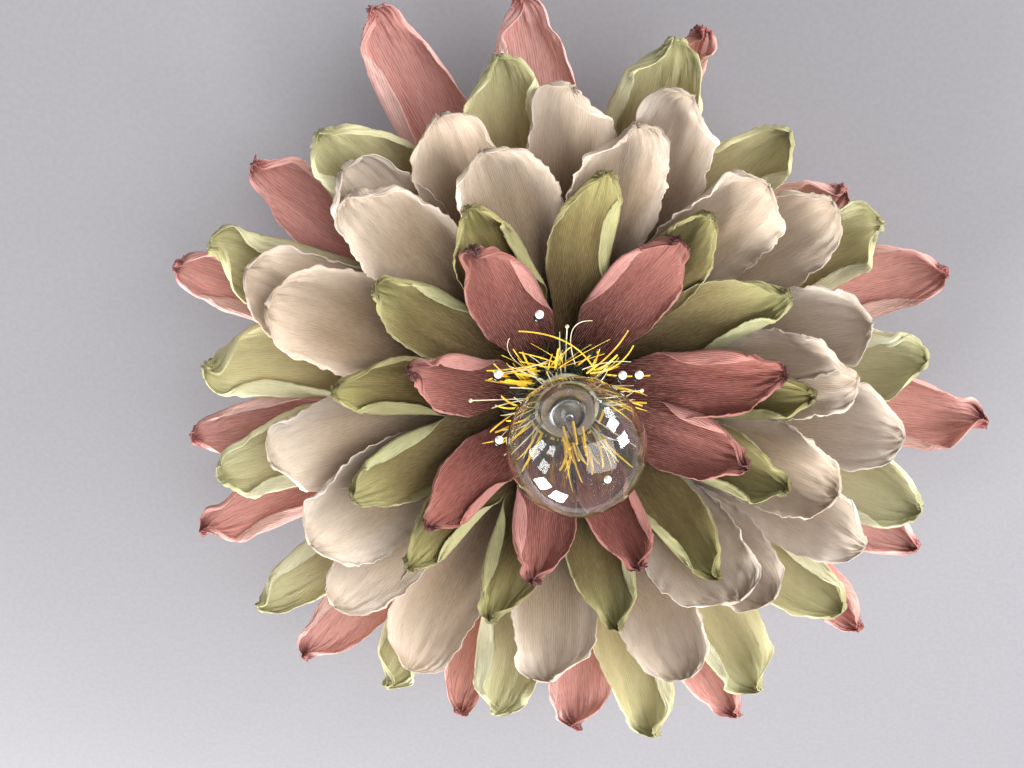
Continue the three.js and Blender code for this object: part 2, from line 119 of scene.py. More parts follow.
# A petal's spine climbs evenly, then steeper, and turns up at its tip. These share its rise.
CLIMB_EVEN = 0.5
CLIMB_CURVED = 0.15
CLIMB_UPTURN = 0.35
UPTURN_POWER = 5
# A margin turns over within this share of the half width to either side of its fold line.
FOLD_SOFTNESS = 0.09
# Width of a petal's end, and what a pinched tip has beyond that on either side
TIP_WIDTH = 4
TIP_FLAP = 1.7
# Chance gives each petal its own folds, as shares of its tier's, and its own fold lines, as
# shares of its half width: least and greatest, for the wider fold and for the narrower.
WIDE_FOLD = (0.86, 1.06)
NARROW_FOLD = (0.7, 1.4)
WIDE_LINE = (0.6, 0.74)
NARROW_LINE = (0.78, 0.9)
# Its tip twists by so many degrees either way and hooks back, and its spine bends aside.
TIP_TWIST = 90
TIP_HOOK = 9
HOOK_SHARES = (0.3, 1.25)
HOOK_LIFT = 0.55
SPINE_BEND = 0.02
# Waves of the paper: half waves across the petal, half waves along it, and their share
TORN_WAVES = [(0, 9, 0.5), (0, 23, 0.35), (0, 61, 0.5), (0, 97, 0.3)]
CREASE_WAVES = [(2, 1, 0.8), (4, 1.5, 0.5), (9, 2, 0.22)]
FRILL_WAVES = [(13, 5, 0.4), (3, 21, 0.5), (5, 37, 0.35)]
GATHER_WAVES = [(7, 1, 0.5), (12, 2, 0.4), (19, 3, 0.25)]
CRUMPLE_WAVES = [(3, 50, 0.4), (5, 80, 0.4), (9, 130, 0.35)]
TORN_DEPTH = 0.02
GATHER_HEIGHT = 2.6
CRUMPLE_HEIGHT = 3.0
# Rows along a petal's sheet and columns across it
INNER_GRID = (62, 44)
OUTER_GRID = (50, 38)

# Tiers from the outermost to the innermost. Each petal has the bearing of its tip in degrees,
# its reach beyond its tier's, its full width, and where it clears its neighbour, a roll in
# degrees and a lift. The letters give the side of each petal's wider fold. A margin that turns
# over hides some paper, which spread makes up for, and rim is where the pale rim sets in.
TIERS = [
    dict(name="outer_pink", reach=305, rise=64, cup=18, tip_cup=100, fold=150,
         narrow_fold=70, spread=1.12, rim=1.0, foot=20, first=25, fused=True,
         widest=0.68, fullness=2.6, point=0.84, ruffle=0.6, crease=1.3, pinch=1.0,
         wide_folds="RLRLLRLRLRLRLRLR",
         petals=[(22, -2, 78), (41, -43, 70, 0, -2), (73, -14, 54), (98, -8, 68), (116, 17, 68),
                 (140, -9, 66), (158, 11, 68), (184, -11, 64), (199, 6, 66), (225, 7, 68),
                 (252, -12, 56), (273, -7, 76), (299, 16, 66), (323, 17, 58), (338, 8, 66),
                 (358, 23, 76)]),
    dict(name="outer_green", reach=275, rise=78, cup=18, tip_cup=95, fold=135,
         narrow_fold=60, spread=1.1, rim=1.0, foot=20, first=12, fused=True,
         widest=0.72, fullness=2.9, point=0.66, ruffle=0.9, crease=1.2, pinch=0.8,
         wide_folds="LRRLRLRLLRLRLRLR",
         petals=[(10, -8, 82), (34, -11, 84, 0, -3), (55, -23, 84, 0, -4), (77, -4, 84),
                 (102, -14, 82), (130, -2, 86), (153, 12, 74), (170, -1, 82), (189, -3, 80),
                 (212, 16, 64), (237, 1, 66), (257, -7, 80), (286, 20, 74), (305, 15, 80),
                 (324, 1, 80), (345, 10, 82)]),
    dict(name="outer_white", reach=237, rise=78, cup=20, tip_cup=56, fold=48,
         narrow_fold=26, spread=1.01, rim=0.35, foot=20, first=22, fused=True,
         widest=0.72, fullness=3.2, point=0.5, ruffle=1.7, crease=0.85, pinch=0.5,
         wide_folds="RLRLRLRLRLRLRLR",
         petals=[(20, -11, 84), (43, 0, 84, 0, -0.5), (72, 2, 80, 0, 2), (91, -2, 76),
                 (113, -2, 80), (131, 5, 80), (153, 18, 84), (187, -11, 84), (219, -1, 80),
                 (238, 8, 80), (267, -16, 84), (295, 4, 84), (318, -17, 82), (337, 12, 80),
                 (358, 10, 84)]),
    dict(name="inner_white", reach=214, rise=74, cup=20, tip_cup=54, fold=46,
         narrow_fold=24, spread=1.01, rim=0.35, foot=22, first=None, fused=False,
         widest=0.7, fullness=3.2, point=0.5, ruffle=1.7, crease=0.85, pinch=0.5,
         wide_folds="RLRLRLRLR",
         petals=[(11, -6, 84, 7, 1), (54, 2, 82, 8, 4), (80, -2, 78, 8), (108, -9, 84, 8, 1),
                 (132, 10, 80, 8), (157, 20, 88, 8), (205, 4, 92, 0, 3), (313, -16, 92),
                 (345, -5, 84, 7)]),
    dict(name="inner_green", reach=178, rise=64, cup=22, tip_cup=100, fold=145,
         narrow_fold=65, spread=1.1, rim=1.0, foot=24, first=5, fused=False,
         widest=0.64, fullness=2.4, point=0.8, ruffle=0.8, crease=1.1, pinch=0.8,
         wide_folds="RRLRRRLRLRLRR",
         petals=[(7, 3, 62, 0, -3), (34, 6, 66), (59, 4, 58, 0, 2.5), (84, 7, 60),
                 (115, -2, 64, 0, 1.5), (144, -1, 62), (171, -1, 60), (198, 1, 62), (223, -7, 58),
                 (250, -2, 60), (284, 0, 64), (314, -4, 60), (342, -3, 62)]),
    dict(name="inner_pink", reach=144, rise=51, cup=26, tip_cup=110, fold=152,
         narrow_fold=75, spread=1.12, rim=1.0, foot=28, first=27, fused=False,
         widest=0.6, fullness=2.3, point=0.84, ruffle=0.6, crease=1.0, pinch=1.0,
         wide_folds="LLRRLRLL",
         petals=[(14, 19, 64, 0, 5), (62, 14, 64), (118, 8, 64), (162, -18, 60), (218, -5, 60),
                 (260, -7, 60), (297, -7, 56), (347, -3, 62)]),
]

# Bead pins: bearing in degrees and distance of the bead from the centre. The black bead hangs
# lower than its place in the solids by the sag, and the tilt leads from it to its white bead.
BEADS = [(107, 85), (145, 66), (38, 60), (46, 51), (193, 55), (302, 53)]
BEAD_WIRE_FOOT = 34
BEAD_RADIUS = 3.1
BEAD_WIRE_RADIUS = 0.5
BEAD_HEIGHT = 52
BEAD_SAG = (0, -3.5, 0)
BEAD_TILT = (1.2, 3.6, 4.4)

# Stamens: each bunch has its bearing and spread in degrees, the number of its strips, the least
# and the greatest reach of their tips, their least and greatest rise as shares of their kind's,
# and how far their tips drift aside.
STAMENS = [
    dict(name="stamens_yellow", root=30.5, base=54, rise=40, width=1.9,
         bunches=[(143, 12, 15, 50, 70, 0.75, 1.0, 10), (102, 25, 9, 40, 58, 0.6, 1.0, 30),
                  (112, 18, 6, 44, 56, 0.9, 1.15, 46), (52, 20, 8, 44, 62, 0.8, 1.1, 12),
                  (18, 20, 9, 42, 60, 0.7, 1.0, 14), (-60, 34, 16, 38, 62, 0.7, 1.1, 12),
                  (205, 26, 10, 44, 66, 0.6, 1.0, 16)]),
    dict(name="stamens_dark", root=28, base=56, rise=36, width=2.2,
         bunches=[(104, 50, 96, 33, 57, 0.1, 0.6, 26), (0, 40, 16, 33, 50, 0.1, 0.6, 14),
                  (172, 30, 18, 33, 56, 0.1, 0.6, 14), (-85, 44, 18, 33, 50, 0.1, 0.6, 12)]),
    dict(name="stamens_cream", root=24.5, base=58, rise=36, width=1.0,
         bunches=[(122, 26, 9, 42, 64, 0.5, 1.0, 14), (32, 30, 8, 42, 58, 0.6, 1.0, 14),
                  (-58, 40, 8, 40, 58, 0.6, 1.0, 12), (190, 36, 8, 42, 60, 0.5, 1.0, 14)]),
]
# Long strips that lie across the others: their kind, and bearing, distance and height in
# millimetres of their start, of the place that they bend towards, and of their end
ARCS = [
    ("stamens_yellow", (62, 40, 84), (88, 66, 94), (120, 76, 88)),
    ("stamens_yellow", (70, 36, 88), (58, 60, 96), (57, 78, 84)),
    ("stamens_yellow", (152, 70, 76), (140, 58, 92), (112, 44, 84)),
    ("stamens_yellow", (158, 66, 74), (146, 60, 86), (124, 44, 82)),
    ("stamens_yellow", (48, 42, 82), (36, 54, 92), (26, 68, 80)),
    ("stamens_yellow", (64, 36, 82), (46, 52, 96), (50, 72, 88)),
    ("stamens_cream", (76, 38, 88), (62, 54, 100), (44, 62, 90)),
    ("stamens_cream", (150, 64, 80), (134, 52, 96), (110, 46, 86)),
    ("stamens_cream", (128, 40, 84), (138, 70, 84), (126, 76, 92)),
    ("stamens_cream", (84, 40, 84), (96, 76, 92), (80, 78, 104)),
]
# Thin cream wires with knotted ends: bearing in degrees, distance of the end from the centre
KNOTTED_WIRES = [(93, 72), (167, 75), (25, 57)]
KNOT_WIRE_RADIUS = 0.4
KNOT_RADIUS = 1.5
KNOT_HEIGHT = 46
# The collars that hold the strips and the strips themselves, in millimetres, shares of their
# kind's width and degrees
COLLAR_BORE = 22.5
COLLAR_RIM = 1.5
COLLAR_GAP = 0.1
COLLAR_THICKNESS = 1.9
STRIP_THICKNESS = 0.3
STRIP_SETBACK = 3
STRIP_WIDTHS = (0.75, 1.2)
STRIP_CURL = (-6, 8)
STRIP_ROLL = 50
STRIP_SPIRAL = 120
ARC_WIDTH = 0.55


def smooth_step(low, high, value):
    """Nought below the low value, one above the high one and a smooth climb between them."""
    share = np.clip((value - low) / (high - low), 0, 1)
    return share * share * (3 - 2 * share)


def polar(radius, bearing, height):
    """A place from its distance from the axis, its bearing in degrees and its height."""
    turn = math.radians(bearing)
    return Vector((radius * math.cos(turn), radius * math.sin(turn), height))


# Objects

def deselect():
    for item in bpy.context.view_layer.objects:
        item.select_set(False)


def activate(piece):
    deselect()
    piece.select_set(True)
    bpy.context.view_layer.objects.active = piece


def apply_modifiers(piece):
    activate(piece)
    for name in [modifier.name for modifier in piece.modifiers]:
        bpy.ops.object.modifier_apply(modifier=name)


def join(pieces, name):
    deselect()
    for piece in pieces:
        piece.select_set(True)
    bpy.context.view_layer.objects.active = pieces[0]
    bpy.ops.object.join()
    pieces[0].name = name
    return pieces[0]


def settle(piece, name, material, nodes=()):
    """Name a finished piece, give it its material and tie it to the frame."""
    piece.name = name
    piece.data.name = name
    activate(piece)
    bpy.ops.object.transform_apply(location=True, rotation=True, scale=True)
    if material is not None:
        piece.data.materials.clear()
        piece.data.materials.append(material)
    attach(piece, "root")
    if nodes:
        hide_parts(*nodes)


def flat_grid(rows, columns):
    """A flat square sheet from minus one to one both ways."""
    deselect()
    bpy.ops.mesh.primitive_grid_add(x_subdivisions=rows, y_subdivisions=columns, size=2)
    return bpy.context.object


def thicken(sheet, thickness):
    """Give a sheet its thickness in millimetres, half of it on either side."""
    walls = sheet.modifiers.new("Thickness", "SOLIDIFY")
    walls.thickness = thickness * MM
    walls.offset = 0
    apply_modifiers(sheet)
    return sheet


def soften(piece, width, segments=3):
    """Round the sharp edges of a piece and shade it smooth."""
    bevel = piece.modifiers.new("Softened edge", "BEVEL")
    bevel.width = width * MM
    bevel.segments = segments
    bevel.limit_method = "ANGLE"
    apply_modifiers(piece)
    bpy.ops.object.shade_smooth_by_angle(angle=SMOOTH_ANGLE)
    return piece


def turned(profile, sides, capped=True):
    """A turned body: a circle carried from each (radius, height) in millimetres to the next."""
    deselect()
    radius, height = profile[0]
    bpy.ops.mesh.primitive_circle_add(vertices=sides, radius=radius * MM,
                                      location=(0, 0, height * MM),
                                      fill_type="NGON" if capped else "NOTHING")
    piece = bpy.context.object
    bpy.ops.object.mode_set(mode="EDIT")
    bpy.ops.mesh.select_all(action="SELECT")
    for next_radius, next_height in profile[1:]:
        bpy.ops.mesh.extrude_region_move(
            TRANSFORM_OT_translate={"value": (0, 0, (next_height - height) * MM)})
        share = next_radius / radius
        bpy.ops.transform.resize(value=(share, share, 1))
        radius, height = next_radius, next_height
    if not capped:
        bpy.ops.mesh.merge(type="CENTER")
    bpy.ops.mesh.select_all(action="SELECT")
    bpy.ops.mesh.normals_make_consistent(inside=False)
    bpy.ops.object.mode_set(mode="OBJECT")
    activate(piece)
    bpy.ops.object.transform_apply(location=True)
    bpy.ops.object.shade_smooth_by_angle(angle=SMOOTH_ANGLE)
    return piece


def ring(outer, bore, base, thickness):
    """A board ring or a collar with softened edges, in millimetres."""
    deselect()
    bpy.ops.mesh.primitive_cylinder_add(vertices=96, radius=outer * MM, depth=thickness * MM,
                                        end_fill_type="NOTHING",
                                        location=(0, 0, (base + thickness / 2) * MM))
    piece = bpy.context.object
    bpy.ops.object.transform_apply(location=True)
    wall = piece.modifiers.new("Board", "SOLIDIFY")
    wall.thickness = (outer - bore) * MM
    wall.offset = -1
    return soften(piece, BOARD_EDGE, 2)


def rod(radius, start, end, sides=12):
    """A round rod from one place to another, in millimetres."""
    run = end - start
    deselect()
    bpy.ops.mesh.primitive_cylinder_add(vertices=sides, radius=radius * MM, depth=run.length * MM,
                                        location=(start + end) * 0.5 * MM,
                                        rotation=run.to_track_quat("Z", "Y").to_euler())
    bpy.ops.object.shade_smooth_by_angle(angle=SMOOTH_ANGLE)
    return bpy.context.object


def ball(radius, place, segments=24):
    deselect()
    bpy.ops.mesh.primitive_uv_sphere_add(segments=segments, ring_count=segments // 2,
                                         radius=radius * MM, location=place * MM)
    bpy.ops.object.shade_smooth()
    return bpy.context.object


# Materials

def linear(hex_colour):
    """A screen colour in linear light, with an alpha of one."""
    channels = [int(hex_colour[i:i + 2], 16) / 255 for i in (1, 3, 5)]
    return [c / 12.92 if c <= 0.04045 else ((c + 0.055) / 1.055) ** 2.4 for c in channels] + [1.0]


def add(tree, kind, settings=None, **links):
    """Add a node, set its properties and inputs, and link inputs to other nodes' outputs."""
    node = tree.nodes.new(kind)
    for key, value in (settings or {}).items():
        if key in node.inputs:
            node.inputs[key].default_value = value
        elif key.startswith("#"):
            node.inputs[int(key[1:])].default_value = value
        else:
            setattr(node, key, value)
    for key, source in links.items():
        target = node.inputs[int(key[1:])] if key[1:].isdigit() else node.inputs[key.replace("_", " ")]
        tree.links.new(source, target)
    return node


def new_material(name):
    material = bpy.data.materials.new(name)
    material.use_nodes = True
    tree = material.node_tree
    return material, tree, tree.nodes["Principled BSDF"]


# One UV unit is this long on a petal, so that patterns on it keep their sizes in millimetres.
# Real crepe has ridges about a millimetre apart. That is too fine to show here, so they are
# drawn 1.4 to 1.75 mm apart.
UV_MILLIMETRES = 400
# A band texture of scale one repeats at this step.
BAND_PERIOD = 0.314
# Height in metres that the ridges of the crepe have at full strength
RIDGE_HEIGHT = 0.0003


def crepe_paper(name, foot, body, tip, edge, tip_shade, shade, ridge_depth, ridge_spacing, contrast,
                glow_share):
    """Florist's crepe paper: matte, with fine ridges along the petal where it was creped.

    Its dye goes from foot to body to tip, and its dark foot is partly painted shade deep in the
    flower. Its turned-in margins carry a painted highlight, its twisted tip painted shade, its
    ridges painted shade in their furrows and a painted highlight on their crests, and its gathers
    painted shade. Each petal has a tone of its own, and a share of the light glows through.
    """
    material, tree, shader = new_material(name)
    uv = add(tree, "ShaderNodeUVMap").outputs[0]
    part = {title: add(tree, "ShaderNodeAttribute", {"attribute_name": title}).outputs["Fac"]
            for title in ("along", "margin_highlight", "tip_shade", "tone")}

    def streaks(across, lengthwise, detail):
        """Noise in streaks of this width and length in millimetres."""
        spot = add(tree, "ShaderNodeMapping",
                   {"Scale": (UV_MILLIMETRES / across, UV_MILLIMETRES / lengthwise, 1)}, Vector=uv)
        return add(tree, "ShaderNodeTexNoise", {"Scale": 1.0, "Detail": detail, "Roughness": 0.55},
                   Vector=spot.outputs[0]).outputs[0]

    def creped(spacing):
        """Wavering bands along the petal, at this spacing in millimetres."""
        stretch = UV_MILLIMETRES * BAND_PERIOD / spacing
        spot = add(tree, "ShaderNodeMapping", {"Scale": (stretch, stretch / 5, 1)}, Vector=uv)
        return add(tree, "ShaderNodeTexWave", {"Scale": 1.0, "Distortion": 4.0, "Detail": 1.0,
                                               "Detail Scale": 1.4, "Detail Roughness": 0.5},
                   Vector=spot.outputs[0]).outputs[1]

    # Short streaks break the bands up, so that no ridge runs far.
    breaks = streaks(ridge_spacing * 0.8, ridge_spacing * 4.5, 2)
    ridges = add(tree, "ShaderNodeMath", {"operation": "MULTIPLY_ADD", "#1": 2.6},
                 _0=breaks, _2=creped(ridge_spacing)).outputs[0]
    gathers = streaks(8, 90, 1)
    # The ridges get painted shade in their furrows and a painted highlight in the edge colour on their
    # crests; contrast sets how strong both are.
    dark = 1 - contrast
    ridge_shade = (dark, dark - 0.02, dark - 0.03, 1)
    gather_shade = (0.96, 0.955, 0.95, 1)

    # Each layer lies over those before it. It has what it follows, the values between which it
    # comes in, evenly or smoothly, its greatest share, its colour and how that blends.
    layers = [
        # Darker towards the foot: partly dye, partly painted shade deep in the flower
        (part["along"], 0.15, 0.7, "SMOOTHSTEP", 1, linear(body), "MIX"),
        (part["along"], 0.65, 0.97, "SMOOTHSTEP", 1, linear(tip), "MIX"),
        # Painted highlight on the turned-over margins and rims
        (part["margin_highlight"], 0, 1, "LINEAR", 0.75, linear(edge), "MIX"),
        # The crumpled tip darkened: painted shade
        (part["tip_shade"], 0, 1, "LINEAR", 1, linear(tip_shade), "MIX"),
        # Painted shade in the ridges' furrows, then a painted highlight on their crests
        (ridges, 1.75, 1.1, "SMOOTHSTEP", 1, ridge_shade, "MULTIPLY"),
        (ridges, 1.8, 2.5, "SMOOTHSTEP", contrast * 1.6, linear(edge), "MIX"),
        # Painted shade in the hollows of the gathers
        (gathers, 0.6, 0.38, "SMOOTHSTEP", 1, gather_shade, "MULTIPLY"),
        (part["tone"], 0, 1, "LINEAR", 1, linear(shade), "MULTIPLY"),
    ]
    colour = add(tree, "ShaderNodeRGB").outputs[0]
    colour.default_value = linear(foot)
    for source, low, high, climb, most, dye, blend in layers:
        share = add(tree, "ShaderNodeMapRange", {"interpolation_type": climb, "#1": low, "#2": high,
                                                 "#4": most}, _0=source).outputs[0]
        colour = add(tree, "ShaderNodeMix", {"data_type": "RGBA", "blend_type": blend, "#7": dye},
                     _0=share, _6=colour).outputs[2]
    tree.links.new(colour, shader.inputs["Base Color"])
    bump = add(tree, "ShaderNodeBump", {"Strength": ridge_depth, "Distance": RIDGE_HEIGHT},
               Height=ridges)
    tree.links.new(bump.outputs[0], shader.inputs["Normal"])
    glow = add(tree, "ShaderNodeBsdfTranslucent", None, Color=colour, Normal=bump.outputs[0])
    sheet = add(tree, "ShaderNodeMixShader", {"#0": glow_share}, _1=shader.outputs[0],
                _2=glow.outputs[0])
    tree.links.new(sheet.outputs[0], tree.nodes["Material Output"].inputs["Surface"])
    shader.inputs["Roughness"].default_value = 0.85
    shader.inputs["Sheen Weight"].default_value = 0.15
    shader.inputs["Sheen Roughness"].default_value = 0.5
    shader.inputs["Specular IOR Level"].default_value = 0.25
    return material


def speckled(name, colour, dark, roughness, metallic=0.0, spot=2.0, bump=0.1):
    """A matte or metal finish with a fine mottle, its spots given in millimetres."""
    material, tree, shader = new_material(name)
    place = add(tree, "ShaderNodeTexCoord").outputs["Object"]
    grain = add(tree, "ShaderNodeTexNoise", {"Scale": 1000 / spot, "Detail": 3.0},
                Vector=place).outputs[0]
    share = add(tree, "ShaderNodeMapRange", {"interpolation_type": "SMOOTHSTEP", "#1": 0.35, "#2": 0.7},
                _0=grain).outputs[0]
    mottle = add(tree, "ShaderNodeMix", {"data_type": "RGBA", "#6": linear(colour), "#7": linear(dark)},
                 _0=share)
    tree.links.new(mottle.outputs[2], shader.inputs["Base Color"])
    lift = add(tree, "ShaderNodeBump", {"Strength": bump, "Distance": 0.0002}, Height=grain)
    tree.links.new(lift.outputs[0], shader.inputs["Normal"])
    shader.inputs["Roughness"].default_value = roughness
    shader.inputs["Metallic"].default_value = metallic
    return material


def clear_glass():
    """Blown soda glass: clear, with sharp reflections of the windows.

    The windows' light passes straight through it, so that it throws no dark shadow.
    """
    material, tree, shader = new_material("Blown clear glass")
    shader.inputs["Base Color"].default_value = linear("#fbfdfd")
    shader.inputs["Roughness"].default_value = 0.0
    shader.inputs["IOR"].default_value = 1.45
    shader.inputs["Transmission Weight"].default_value = 1.0
    path = add(tree, "ShaderNodeLightPath")
    clear = add(tree, "ShaderNodeBsdfTransparent")
    share = add(tree, "ShaderNodeMath", {"operation": "MAXIMUM"}, _0=path.outputs["Is Shadow Ray"],
                _1=path.outputs["Is Diffuse Ray"]).outputs[0]
    blend = add(tree, "ShaderNodeMixShader", None, _0=share, _1=shader.outputs[0],
                _2=clear.outputs[0])
    tree.links.new(blend.outputs[0], tree.nodes["Material Output"].inputs["Surface"])
    return material


# Each tier's crepe has a dye of its own. Its dull, warm foot is partly painted shade and its
# pale edge colour a painted highlight; the inner tiers' darker dyes are partly painted shade
# deep in the flower.
CREPE = {
    "outer_pink": crepe_paper(
        "Crepe paper salmon", foot="#c98a80", body="#f6bdb6", tip="#f6c1ba", edge="#f8ddd7",
        tip_shade="#a8605c", shade="#f1e2de", ridge_depth=0.8, ridge_spacing=1.75, contrast=0.2,
        glow_share=0.15),
    "outer_green": crepe_paper(
        "Crepe paper pale green", foot="#b8996f", body="#dbd0a8", tip="#e0deb5", edge="#eef0d6",
        tip_shade="#9c996a", shade="#f6f1e0", ridge_depth=0.6, ridge_spacing=1.5, contrast=0.11,
        glow_share=0.15),
    "outer_white": crepe_paper(
        "Crepe paper cream", foot="#8a765f", body="#bfac96", tip="#dcd0c2", edge="#ece4da",
        tip_shade="#ab9984", shade="#f9f1e8", ridge_depth=0.5, ridge_spacing=1.5, contrast=0.11,
        glow_share=0.22),
    # The outer whites' cream paper, darker: painted shade deeper in the flower
    "inner_white": crepe_paper(
        "Crepe paper cream in painted shade", foot="#826e56", body="#baa68e", tip="#dacdbe", edge="#ece4da",
        tip_shade="#ab9984", shade="#f9f1e8", ridge_depth=0.5, ridge_spacing=1.5, contrast=0.11,
        glow_share=0.22),
    "inner_green": crepe_paper(
        "Crepe paper sage", foot="#543f28", body="#7f714a", tip="#a5a271", edge="#c6c99e",
        tip_shade="#655d34", shade="#f3ecd8", ridge_depth=0.5, ridge_spacing=1.4, contrast=0.1,
        glow_share=0.15),
    "inner_pink": crepe_paper(
        "Crepe paper dusty rose", foot="#4a2019", body="#925b52", tip="#ad746a", edge="#d49f96",
        tip_shade="#552521", shade="#ecdcd8", ridge_depth=0.7, ridge_spacing=1.45, contrast=0.18,
        glow_share=0.15),
}
# Smooth paper glued round each board ring in its tier's colour, flat, and darkened as painted
# shade, since the rings show only in the shade between the petals
WRAPS = {tier: speckled(title, colour, dark, 0.9, bump=0.4) for tier, title, colour, dark in [
    ("outer_pink", "Salmon paper wrap", "#a96e68", "#95605a"),
    ("outer_green", "Pale green paper wrap", "#b0a983", "#9d9672"),
    ("outer_white", "Cream paper wrap", "#85745f", "#746450"),
    ("inner_white", "Cream paper wrap in deeper painted shade", "#6b5d4a", "#5b4e3d"),
    ("inner_green", "Sage paper wrap", "#554a30", "#463c26"),
    ("inner_pink", "Rose paper wrap", "#4c302a", "#38231f"),
]}
# Grey board pressed from layers: dull, with specks of fibre
CARD = speckled("Grey board layers", "#cfc8bc", "#b9b0a2", 0.9, spot=1.2, bump=0.4)
GLASS = clear_glass()
# Rolled aluminium that handling has dulled: broad soft reflections. Its dark grey is painted
# shade, where the cap sits deep between the petals
CAP_METAL = speckled("Rolled aluminium cap", "#5f554d", "#4c433d", 0.5, 1.0, spot=3)
# Stamped brass: yellow, with a satin shine
BRASS = speckled("Stamped brass", "#d2ab58", "#b98f42", 0.3, 1.0, spot=3)
# Thermoset plastic from a polished mould: brown, with a low gloss
HOLDER = speckled("Moulded brown plastic", "#6e5f50", "#625446", 0.38, spot=1.5, bump=0.05)
# The glass that carries the cap's contact: nearly black and glossy
INSULATOR = speckled("Dark cap glass", "#2b2826", "#1c1a19", 0.25, spot=2)
# Phosphor in resin, cast over each filament: opaque yellow, finely grained
PHOSPHOR = speckled("Yellow phosphor coat", "#e2b83e", "#d3a02c", 0.55, spot=0.6, bump=0.3)
# Pressed glass and coated pearl beads: smooth, each with a small sharp highlight
BEAD_BLACK = speckled("Black glass bead", "#171615", "#242220", 0.12, spot=2, bump=0.02)
BEAD_WHITE = speckled("White pearl bead", "#f1eee8", "#e3dfd7", 0.18, spot=2, bump=0.02)
# Strips cut from dyed paper: matte, with darker blotches along them
STRIPS = {
    "stamens_yellow": speckled("Cut golden strip", "#eecb3c", "#d6a626", 0.6, spot=6.0, bump=0.3),
    "stamens_dark": speckled("Cut dark strip", "#1f221d", "#3a4130", 0.6, spot=6.0, bump=0.3),
    "stamens_cream": speckled("Cut cream strip", "#ddd6ba", "#b5b087", 0.7, spot=6.0, bump=0.3),
}


# Petals

def half_width(tier, width, u):
    """Half the width of the flat sheet at u along it, in millimetres."""
    foot = tier["foot"] / 2
    full = width / 2
    tip = TIP_WIDTH / 2 + TIP_FLAP * tier["pinch"]
    swell = foot + (full - foot) * smooth_step(0, 1, u / tier["widest"])
    past = np.clip((u - tier["widest"]) / (1 - tier["widest"]), 0, 1)
    taper = tip + (full - tip) * (1 - past ** tier["fullness"]) ** tier["point"]
    return np.where(u < tier["widest"], swell, taper)


def ripple(chance, u, v, waves):
    """A smooth random height from a few waves: half waves across, half waves along, share."""
    height = np.zeros_like(u)
    for across, lengthwise, share in waves:
        turn = chance.uniform(0, 2 * math.pi)
        sway = chance.uniform(-0.6, 0.6)
        height += share * np.sin(across * math.pi * (v + sway * u * u)
                                 + lengthwise * math.pi * u + turn)
    return height


def section(tier, folds, lines, u, v):
    """How far the sheet lies across and above its spine, in half widths, and its slope there."""
    cup = (math.radians(tier["cup"]) * smooth_step(0, 0.3, u)
           + math.radians(tier["tip_cup"] - tier["cup"]) * smooth_step(0.6, 1, u))
    fold = folds * smooth_step(0.22, 0.5, u) * (1 - 0.5 * smooth_step(0.86, 1, u))

    def slope(part):
        return cup * part + fold * smooth_step(lines - FOLD_SOFTNESS, lines + FOLD_SOFTNESS, part)

    steps = 28
    part = np.abs(v)
    across = np.zeros_like(u)
    up = np.zeros_like(u)
    for step in range(steps):
        angle = slope(part * (step + 0.5) / steps)
        across += np.cos(angle) * part / steps
        up += np.sin(angle) * part / steps
    return np.sign(v) * across, up, np.sign(v) * slope(part)


def relief(tier, u, v, chance):
    """Height in millimetres of a petal's creases, frill, gathers and crumpled tip."""
    part = np.abs(v)
    pinch = tier["pinch"]
    creases = tier["crease"] * ripple(chance, u, v, CREASE_WAVES)
    frill = tier["ruffle"] * ripple(chance, u, v, FRILL_WAVES)
    gathers = GATHER_HEIGHT * pinch * ripple(chance, u, v, GATHER_WAVES)
    crumple = CRUMPLE_HEIGHT * pinch * ripple(chance, u, v, CRUMPLE_WAVES)
    sheet = creases * smooth_step(0.1, 0.5, u) * (1 - 0.3 * part)
    sheet = sheet + gathers * smooth_step(0.7, 0.95, u) * (1 - smooth_step(0.97, 1, u))
    sheet = sheet + frill * np.maximum(part ** 5, smooth_step(0.86, 1, u)) * smooth_step(0.3, 0.6, u)
    return sheet + crumple * smooth_step(0.955, 0.99, u)


